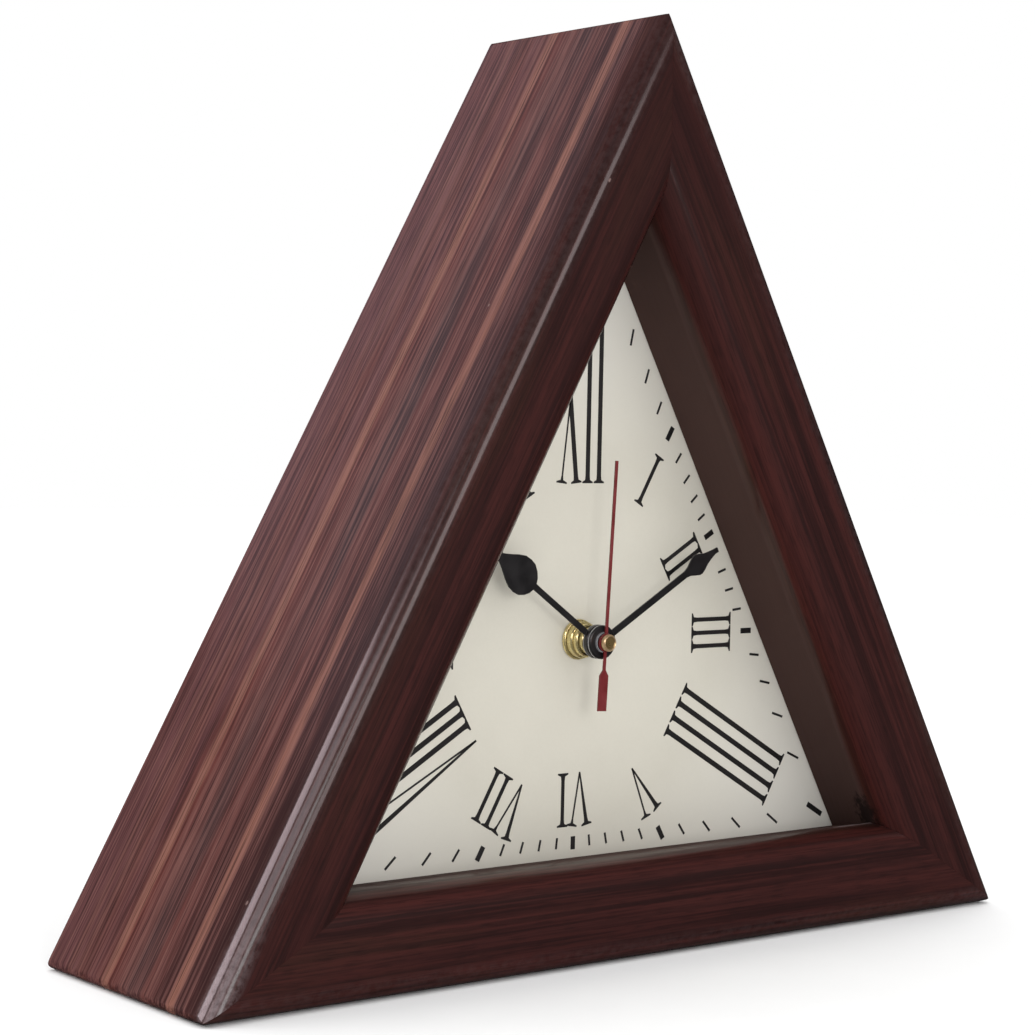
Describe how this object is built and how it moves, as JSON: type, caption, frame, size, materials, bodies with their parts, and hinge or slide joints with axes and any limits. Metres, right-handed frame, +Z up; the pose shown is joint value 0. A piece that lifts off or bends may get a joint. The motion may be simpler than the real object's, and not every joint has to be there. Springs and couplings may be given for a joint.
{
  "type": "wall clock",
  "caption": "Triangular wooden wall clock: deep mitred box case, recessed cream dial, black spade hands, and a battery quartz movement with its gear train behind.",
  "frame": {"origin": "middle of the base rail's underside, where the clock stands", "axes": "+Z up towards the case's apex, the dial faces -Y, +X to the right as seen from the front"},
  "size_m": [0.2968, 0.082, 0.2677],
  "materials": {
    "dark_hardwood": "dark lacquered mahogany with a satin sheen",
    "beech": "bare turned dowel",
    "zinc_steel": "zinc-plated",
    "dial_card": "matt cream printed card",
    "hardboard": "brown hardboard",
    "rubber": "matt",
    "brass": "bright turned",
    "cap_brass": "polished rim, dull face",
    "black_paint": "satin black enamel on aluminium",
    "red_paint": "satin dark red enamel on aluminium",
    "white_plastic": "moulded acetal",
    "iron": "stamped soft iron",
    "black_plastic": "fine-textured moulding",
    "copper": "enamelled copper wire",
    "circuit_board": "resin board",
    "battery": "printed film sleeve"
  },
  "bodies": {
    "case": {"rail_left": "dark_hardwood", "rail_right": "dark_hardwood", "rail_base": "dark_hardwood", "bead_left": "dark_hardwood", "bead_right": "dark_hardwood", "bead_base": "dark_hardwood", "bead_brad_1": "zinc_steel", "bead_brad_2": "zinc_steel", "bead_brad_3": "zinc_steel", "bead_brad_4": "zinc_steel", "bead_brad_5": "zinc_steel", "bead_brad_6": "zinc_steel", "mitre_dowel_1": "beech", "mitre_dowel_2": "beech", "mitre_dowel_3": "beech", "mitre_dowel_4": "beech", "mitre_dowel_5": "beech", "mitre_dowel_6": "beech", "hanger_plate": "zinc_steel", "hanger_screw_1": "zinc_steel", "hanger_screw_2": "zinc_steel", "hanger_screw_3": "zinc_steel", "hanger_screw_4": "zinc_steel", "dial_card": "dial_card", "dial_board": "hardboard", "rubber_pad": "rubber", "threaded_bush": "brass", "brass_washer": "brass", "bush_nut": "brass", "middle_plate": "white_plastic", "train_bridge": "white_plastic", "movement_case": "black_plastic", "movement_cover": "black_plastic", "stator": "iron", "coil_core": "iron", "coil_bobbin": "white_plastic", "coil_winding": "copper", "circuit_board": "circuit_board", "crystal_can": "zinc_steel", "chip_blob": "black_plastic", "contact_positive": "zinc_steel", "contact_negative": "zinc_steel"},
    "second_hand": {"second_hand": "red_paint", "second_cap": "cap_brass", "second_wheel": "white_plastic"},
    "minute_hand": {"minute_hand": "black_paint", "minute_pipe": "brass"},
    "hour_hand": {"hour_hand": "black_paint", "hour_wheel": "white_plastic"},
    "motion_wheel": {"motion_wheel": "white_plastic"},
    "setting_knob": {"setting_knob": "white_plastic"},
    "centre_wheel": {"centre_wheel": "brass"},
    "third_wheel": {"third_wheel": "white_plastic"},
    "step_wheel": {"step_wheel": "white_plastic"},
    "rotor": {"rotor": "iron"},
    "battery": {"battery_cell": "battery"}
  },
  "joints": [
    {"name": "second_hand_turn", "type": "hinge", "parent": "case", "child": "second_hand", "pos_m": [0, 0.0092, 0.08826], "axis": [0, 1, 0], "continuous": true},
    {"name": "minute_hand_turn", "type": "hinge", "parent": "case", "child": "minute_hand", "pos_m": [0, 0.0041, 0.08826], "axis": [0, 1, 0], "continuous": true},
    {"name": "hour_hand_turn", "type": "hinge", "parent": "case", "child": "hour_hand", "pos_m": [0, 0.0029, 0.08826], "axis": [0, 1, 0], "continuous": true},
    {"name": "motion_wheel_turn", "type": "hinge", "parent": "case", "child": "motion_wheel", "pos_m": [0.00677, 0.0041, 0.0858], "axis": [0, 1, 0], "continuous": true},
    {"name": "setting_knob_turn", "type": "hinge", "parent": "case", "child": "setting_knob", "pos_m": [0.01386, 0.0168, 0.08705], "axis": [0, 1, 0], "continuous": true},
    {"name": "centre_wheel_turn", "type": "hinge", "parent": "case", "child": "centre_wheel", "pos_m": [0, 0.0053, 0.08826], "axis": [0, 1, 0], "continuous": true},
    {"name": "third_wheel_turn", "type": "hinge", "parent": "case", "child": "third_wheel", "pos_m": [-0.00779, 0.008, 0.09276], "axis": [0, 1, 0], "continuous": true},
    {"name": "step_wheel_turn", "type": "hinge", "parent": "case", "child": "step_wheel", "pos_m": [0.0035, 0.0104, 0.09432], "axis": [0, 1, 0], "continuous": true},
    {"name": "rotor_turn", "type": "hinge", "parent": "case", "child": "rotor", "pos_m": [0.00914, 0.0116, 0.09637], "axis": [0, 1, 0], "continuous": true},
    {"name": "battery_slide", "type": "slide", "parent": "case", "child": "battery", "axis": [0, 1, 0], "range_m": [0, 0.02]}
  ],
  "couplings": [
    {"joint": "hour_hand_turn", "follows": "minute_hand_turn", "ratio": 0.083333},
    {"joint": "motion_wheel_turn", "follows": "minute_hand_turn", "ratio": -0.33333},
    {"joint": "setting_knob_turn", "follows": "minute_hand_turn", "ratio": 1},
    {"joint": "centre_wheel_turn", "follows": "second_hand_turn", "ratio": 0.016667},
    {"joint": "third_wheel_turn", "follows": "second_hand_turn", "ratio": -0.13333},
    {"joint": "step_wheel_turn", "follows": "second_hand_turn", "ratio": -6},
    {"joint": "rotor_turn", "follows": "second_hand_turn", "ratio": 30}
  ]
}
